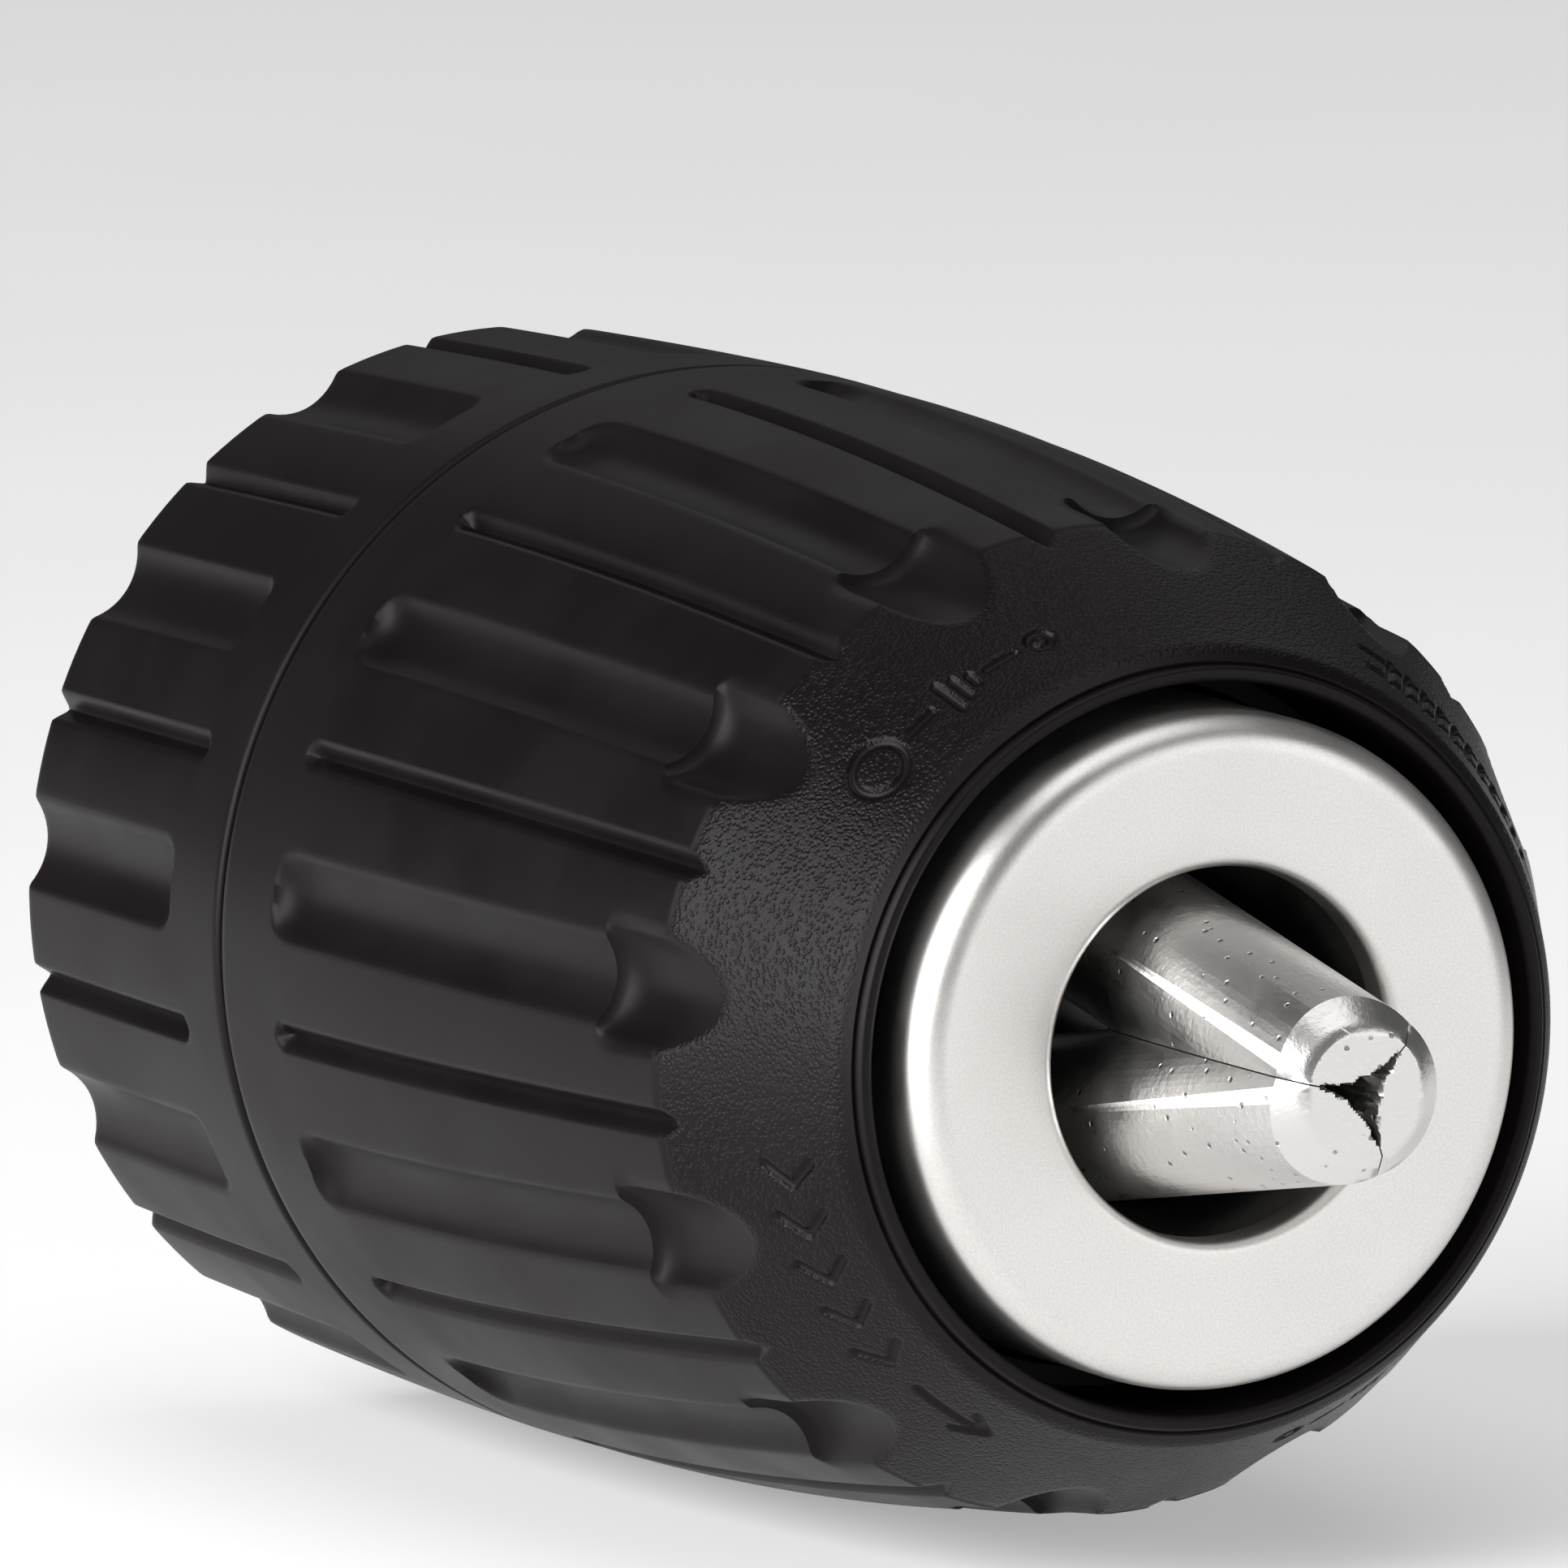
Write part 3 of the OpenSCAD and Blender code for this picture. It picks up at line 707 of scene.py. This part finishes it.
class Finish:
    """A node material in the making, which reads the piece's own coordinates."""

    def __init__(self, name, base, metallic, roughness):
        self.material = bpy.data.materials.new(name + "_finish")
        self.material.use_nodes = True
        self.nodes = self.material.node_tree.nodes
        self.links = self.material.node_tree.links
        self.shader = self.nodes["Principled BSDF"]
        self.shader.inputs["Base Color"].default_value = (*base, 1)
        self.shader.inputs["Metallic"].default_value = metallic
        self.shader.inputs["Roughness"].default_value = roughness
        self.place = self.nodes.new("ShaderNodeTexCoord").outputs["Object"]

    def noise(self, cell, detail=2.0, roughness=0.5, stretch=None):
        """Soft noise whose features are cell metres wide, with stretch across each axis if given."""
        node = self.nodes.new("ShaderNodeTexNoise")
        node.inputs["Scale"].default_value = 1 / cell
        node.inputs["Detail"].default_value = detail
        node.inputs["Roughness"].default_value = roughness
        place = self.place
        if stretch:
            mapping = self.nodes.new("ShaderNodeMapping")
            mapping.inputs["Scale"].default_value = stretch
            self.links.new(place, mapping.inputs["Vector"])
            place = mapping.outputs["Vector"]
        self.links.new(place, node.inputs["Vector"])
        return node.outputs["Fac"]

    def pits(self, cell):
        """Distance to scattered points that stand about cell metres apart."""
        node = self.nodes.new("ShaderNodeTexVoronoi")
        node.inputs["Scale"].default_value = 1 / cell
        self.links.new(self.place, node.inputs["Vector"])
        return node.outputs["Distance"]

    def ramp(self, source, low, high, bottom=0.0, top=1.0):
        """A value brought from low..high to bottom..top, smoothly and within them."""
        node = self.nodes.new("ShaderNodeMapRange")
        node.interpolation_type = "SMOOTHSTEP"
        for key, value in (("From Min", low), ("From Max", high), ("To Min", bottom), ("To Max", top)):
            node.inputs[key].default_value = value
        self.links.new(source, node.inputs["Value"])
        return node.outputs["Result"]

    def along(self):
        """How far a point lies from the spindle face along the chuck's axis."""
        split = self.nodes.new("ShaderNodeSeparateXYZ")
        self.links.new(self.place, split.inputs[0])
        return self.math("MULTIPLY", split.outputs["Y"], -1.0)

    def radius(self):
        """How far a point lies from the chuck's axis."""
        split = self.nodes.new("ShaderNodeSeparateXYZ")
        self.links.new(self.place, split.inputs[0])
        across = self.math("MULTIPLY", split.outputs["X"], split.outputs["X"])
        up = self.math("MULTIPLY", split.outputs["Z"], split.outputs["Z"])
        return self.math("SQRT", self.math("ADD", across, up), 0.0)

    def math(self, operation, a, b):
        """One sum of two values, each a number or a socket."""
        node = self.nodes.new("ShaderNodeMath")
        node.operation = operation
        for socket, value in zip(node.inputs, (a, b)):
            if isinstance(value, (int, float)):
                socket.default_value = value
            else:
                self.links.new(value, socket)
        return node.outputs[0]

    def colours(self, factor, dark, light):
        """Colour from dark to light by a factor."""
        node = self.nodes.new("ShaderNodeMix")
        node.data_type = "RGBA"
        node.inputs["A"].default_value = (*dark, 1)
        node.inputs["B"].default_value = (*light, 1)
        self.links.new(factor, node.inputs["Factor"])
        self.links.new(node.outputs["Result"], self.shader.inputs["Base Color"])

    def rough(self, source):
        """Takes the roughness from a socket."""
        self.links.new(source, self.shader.inputs["Roughness"])

    def bump(self, height, depth, strength=1.0):
        """Bump from a height of 0 to 1 that stands for depth metres."""
        node = self.nodes.new("ShaderNodeBump")
        node.inputs["Distance"].default_value = depth
        node.inputs["Strength"].default_value = strength
        self.links.new(height, node.inputs["Height"])
        old = self.shader.inputs["Normal"]
        if old.is_linked:
            self.links.new(old.links[0].from_socket, node.inputs["Normal"])
        self.links.new(node.outputs["Normal"], old)


def tinted(base, factor):
    """A colour made lighter or darker."""
    return tuple(min(channel * factor, 1.0) for channel in base)


def kept(name):
    """A finish that has been made before, or None."""
    return bpy.data.materials.get(name + "_finish")


def plastic_material(context):
    """Black moulded plastic: matte on the barrel, with a spark-eroded grain on the nose cone."""
    if kept("moulded_plastic"):
        return kept("moulded_plastic")
    base = context.scene.chuck_colours.plastic
    cone_z = RIM - context.scene.chuck_sleeves.cone_height
    finish = Finish("moulded_plastic", base, 0.0, 0.45)
    finish.shader.inputs["Specular IOR Level"].default_value = 0.15
    sleeves = context.scene.chuck_sleeves
    cone_r = sleeves.radius - sleeves.front_drop
    fall = (cone_r - sleeves.rim_radius) / sleeves.cone_height
    past = finish.math("SUBTRACT", finish.along(), cone_z)
    cone = finish.math("SUBTRACT", cone_r, finish.math("MULTIPLY", past, fall))
    sunk = finish.math("SUBTRACT", cone, finish.radius())
    on_cone = finish.math("MULTIPLY", finish.ramp(past, -0.1 * MM, 0.15 * MM),
                          finish.ramp(sunk, 0.03 * MM, 0.22 * MM, 1.0, 0.0))
    leather = finish.pits(0.19 * MM)
    grain = finish.noise(0.10 * MM, detail=2.0, roughness=0.6)
    cloud = finish.noise(6 * MM, detail=3.0)
    coarse = finish.math("MULTIPLY", finish.math("ADD", finish.ramp(leather, 0.1, 0.6), grain), on_cone)
    finish.bump(coarse, 0.022 * MM)
    finish.bump(grain, 0.001 * MM)
    scatter = finish.ramp(cloud, 0.3, 0.7, 0.38, 0.46)
    finish.rough(finish.math("SUBTRACT", scatter, finish.math("MULTIPLY", on_cone, 0.12)))
    finish.colours(finish.ramp(cloud, 0.35, 0.65), tinted(base, 0.85), tinted(base, 1.2))
    return finish.material


def cap_material(context):
    """Bead-blasted steel: pale, satin and finely dimpled."""
    base = context.scene.chuck_colours.cap
    finish = Finish("blasted_steel", base, 1.0, 0.4)
    dimples = finish.noise(0.10 * MM, detail=2.0)
    cloud = finish.noise(4 * MM, detail=4.0)
    finish.bump(dimples, 0.004 * MM)
    finish.rough(finish.ramp(cloud, 0.3, 0.7, 0.34, 0.42))
    finish.colours(finish.ramp(dimples, 0.3, 0.7), tinted(base, 0.95), tinted(base, 1.05))
    return finish.material


def jaw_material(context):
    """Barrel-finished jaw steel with fine pits."""
    if kept("jaw_steel"):
        return kept("jaw_steel")
    base = context.scene.chuck_colours.jaw
    finish = Finish("jaw_steel", base, 1.0, 0.3)
    pits = finish.pits(0.9 * MM)
    waves = finish.noise(0.30 * MM, detail=3.0, roughness=0.65)
    cloud = finish.noise(1.6 * MM, detail=2.0)
    finish.bump(waves, 0.022 * MM)
    finish.bump(finish.ramp(pits, 0.08, 0.16), 0.03 * MM)
    finish.rough(finish.ramp(cloud, 0.3, 0.7, 0.27, 0.33))
    finish.colours(finish.ramp(pits, 0.06, 0.14), tinted(base, 0.35), base)
    return finish.material


def turned_material(name, base, roughness, ring=0.12 * MM):
    """Turned metal, with fine tool rings along the axis and a little staining."""
    finish = Finish(name, base, 1.0, roughness)
    rings = finish.noise(ring, detail=1.0, stretch=(0.02, 1.0, 0.02))
    cloud = finish.noise(3 * MM, detail=4.0, roughness=0.6)
    finish.bump(rings, 0.003 * MM)
    finish.rough(finish.ramp(cloud, 0.3, 0.7, roughness * 0.85, roughness * 1.2))
    finish.colours(finish.ramp(cloud, 0.35, 0.65), tinted(base, 0.85), tinted(base, 1.12))
    return finish.material


class CHUCK_OT_finishes(bpy.types.Operator):
    """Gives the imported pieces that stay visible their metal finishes"""

    bl_idname = "chuck.finishes"
    bl_label = "Metal Finishes"

    def execute(self, context):
        colours = context.scene.chuck_colours
        nut = turned_material("nut_steel", colours.nut, 0.38)
        race = turned_material("race_steel", colours.race, 0.16, ring=0.05 * MM)
        finishes = {
            "nut_half_1": nut, "nut_half_2": nut, "nut_shell": nut,
            "thrust_race_rear": race, "thrust_race_front": race,
            "thrust_balls": turned_material("ball_steel", colours.race, 0.08, ring=0.2 * MM),
            "ball_cage": turned_material("cage_brass", colours.cage, 0.3),
            "rear_cover": turned_material("cover_zinc", colours.zinc, 0.3, ring=0.3 * MM),
        }
        for name, material in finishes.items():
            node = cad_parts[name]
            if not node.material_slots:
                node.data.materials.append(material)
            for slot in node.material_slots:
                slot.material = material
        return {"FINISHED"}


# Stage ------------------------------------------------------------------------------------------


def from_angles(azimuth, elevation):
    """Direction from the object towards a place at an azimuth and an elevation."""
    level = math.cos(elevation)
    return Vector((math.sin(azimuth) * level, -math.cos(azimuth) * level, math.sin(elevation)))


def facing(place, aim):
    """Matrix of a camera or light that stands at a place and looks at a point."""
    turned = (aim - place).to_track_quat("-Z", "Y").to_matrix().to_4x4()
    return Matrix.Translation(place) @ turned


def softbox(name, aim, brightness, turned, raised, away, width, height):
    """A softbox of an even brightness that faces the object."""
    data = bpy.data.lights.new(name, "AREA")
    data.shape = "RECTANGLE"
    data.size, data.size_y = width, height
    data.energy = brightness * math.pi * width * height
    light = bpy.data.objects.new(name, data)
    bpy.context.scene.collection.objects.link(light)
    light.visible_camera = False
    place = aim + from_angles(math.radians(turned), math.radians(raised)) * away
    light.matrix_world = facing(place, aim)
    return light


class CHUCK_OT_stage(bpy.types.Operator):
    """Makes the floor, the lights, the background and the camera"""

    bl_idname = "chuck.stage"
    bl_label = "Stage"

    def execute(self, context):
        scene = context.scene
        stage = scene.chuck_stage
        aim = Vector(stage.aim)
        self.make_floor(context)
        softbox("key_left", aim, stage.key, turned=-82, raised=14, away=0.60, width=0.62, height=0.58)
        softbox("front_right", aim, stage.front, turned=30, raised=6, away=0.90, width=0.80, height=0.80)
        softbox("top_soft", aim, stage.top, turned=0, raised=78, away=0.60, width=0.50, height=0.45)
        softbox("back_soft", aim, stage.back, turned=150, raised=40, away=0.80, width=0.60, height=0.60)
        self.make_world(scene, stage)
        data = bpy.data.cameras.new("camera")
        data.lens = stage.lens
        data.sensor_width = 36.0
        data.clip_start = 0.05
        data.clip_end = 20.0
        camera = bpy.data.objects.new("camera", data)
        scene.collection.objects.link(camera)
        camera.matrix_world = facing(aim + from_angles(stage.azimuth, stage.elevation) * stage.distance, aim)
        scene.camera = camera
        scene.view_settings.view_transform = "Standard"
        return {"FINISHED"}

    def make_floor(self, context):
        bm = bmesh.new()
        bmesh.ops.create_grid(bm, x_segments=8, y_segments=8, size=1.5)
        bmesh.ops.translate(bm, verts=bm.verts, vec=(0, 0, LOWEST))
        mesh = bpy.data.meshes.new("floor")
        bm.to_mesh(mesh)
        bm.free()
        floor = bpy.data.objects.new("floor", mesh)
        context.scene.collection.objects.link(floor)
        base = context.scene.chuck_colours.floor
        finish = Finish("floor", base, 0.0, 0.9)
        finish.shader.inputs["Specular IOR Level"].default_value = 0.1
        finish.shader.inputs["Emission Color"].default_value = (1, 1, 1, 1)
        finish.shader.inputs["Emission Strength"].default_value = 0.34
        cloud = finish.noise(60 * MM, detail=2.0)
        finish.colours(finish.ramp(cloud, 0.3, 0.7), tinted(base, 0.97), base)
        mesh.materials.append(finish.material)

    def make_world(self, scene, stage):
        world = bpy.data.worlds.new("studio")
        scene.world = world
        world.use_nodes = True
        nodes, links = world.node_tree.nodes, world.node_tree.links
        background = nodes["Background"]
        path = nodes.new("ShaderNodeLightPath")
        level = nodes.new("ShaderNodeMapRange")
        level.inputs["To Min"].default_value = stage.world
        level.inputs["To Max"].default_value = stage.sky
        links.new(path.outputs["Is Camera Ray"], level.inputs["Value"])
        links.new(level.outputs["Result"], background.inputs["Strength"])
        background.inputs["Color"].default_value = (1, 1, 1, 1)


# Sidebar ----------------------------------------------------------------------------------------


class CHUCK_PT_sidebar(bpy.types.Panel):
    """The chuck's pieces, sizes and colours"""

    bl_label = "Drill Chuck"
    bl_idname = "CHUCK_PT_sidebar"
    bl_space_type = "VIEW_3D"
    bl_region_type = "UI"
    bl_category = "Chuck"

    def draw(self, context):
        for key in GROUPS:
            group = getattr(context.scene, key)
            box = self.layout.box()
            for name in group.bl_rna.properties.keys():
                if name not in ("rna_type", "name"):
                    box.prop(group, name)
        for operator in OPERATORS:
            self.layout.operator(operator.bl_idname)


OPERATORS = (CHUCK_OT_front_sleeve, CHUCK_OT_rear_sleeve, CHUCK_OT_nose_cap, CHUCK_OT_jaws, CHUCK_OT_body,
             CHUCK_OT_finishes, CHUCK_OT_stage)
GROUPS = {
    "chuck_sleeves": ChuckSleeves,
    "chuck_cap": ChuckCap,
    "chuck_jaws": ChuckJaws,
    "chuck_body_sizes": ChuckBody,
    "chuck_colours": ChuckColours,
    "chuck_stage": ChuckStage,
}


def register():
    for group in GROUPS.values():
        bpy.utils.register_class(group)
    for name, group in GROUPS.items():
        setattr(bpy.types.Scene, name, bpy.props.PointerProperty(type=group))
    for operator in OPERATORS:
        bpy.utils.register_class(operator)
    bpy.utils.register_class(CHUCK_PT_sidebar)


def unregister():
    bpy.utils.unregister_class(CHUCK_PT_sidebar)
    for operator in reversed(OPERATORS):
        bpy.utils.unregister_class(operator)
    for name in GROUPS:
        delattr(bpy.types.Scene, name)
    for group in reversed(GROUPS.values()):
        bpy.utils.unregister_class(group)


def main():
    register()
    bpy.ops.chuck.front_sleeve()
    bpy.ops.chuck.rear_sleeve()
    bpy.ops.chuck.nose_cap()
    bpy.ops.chuck.jaws()
    bpy.ops.chuck.body()
    bpy.ops.chuck.finishes()
    bpy.ops.chuck.stage()


if __name__ == "__main__":
    main()
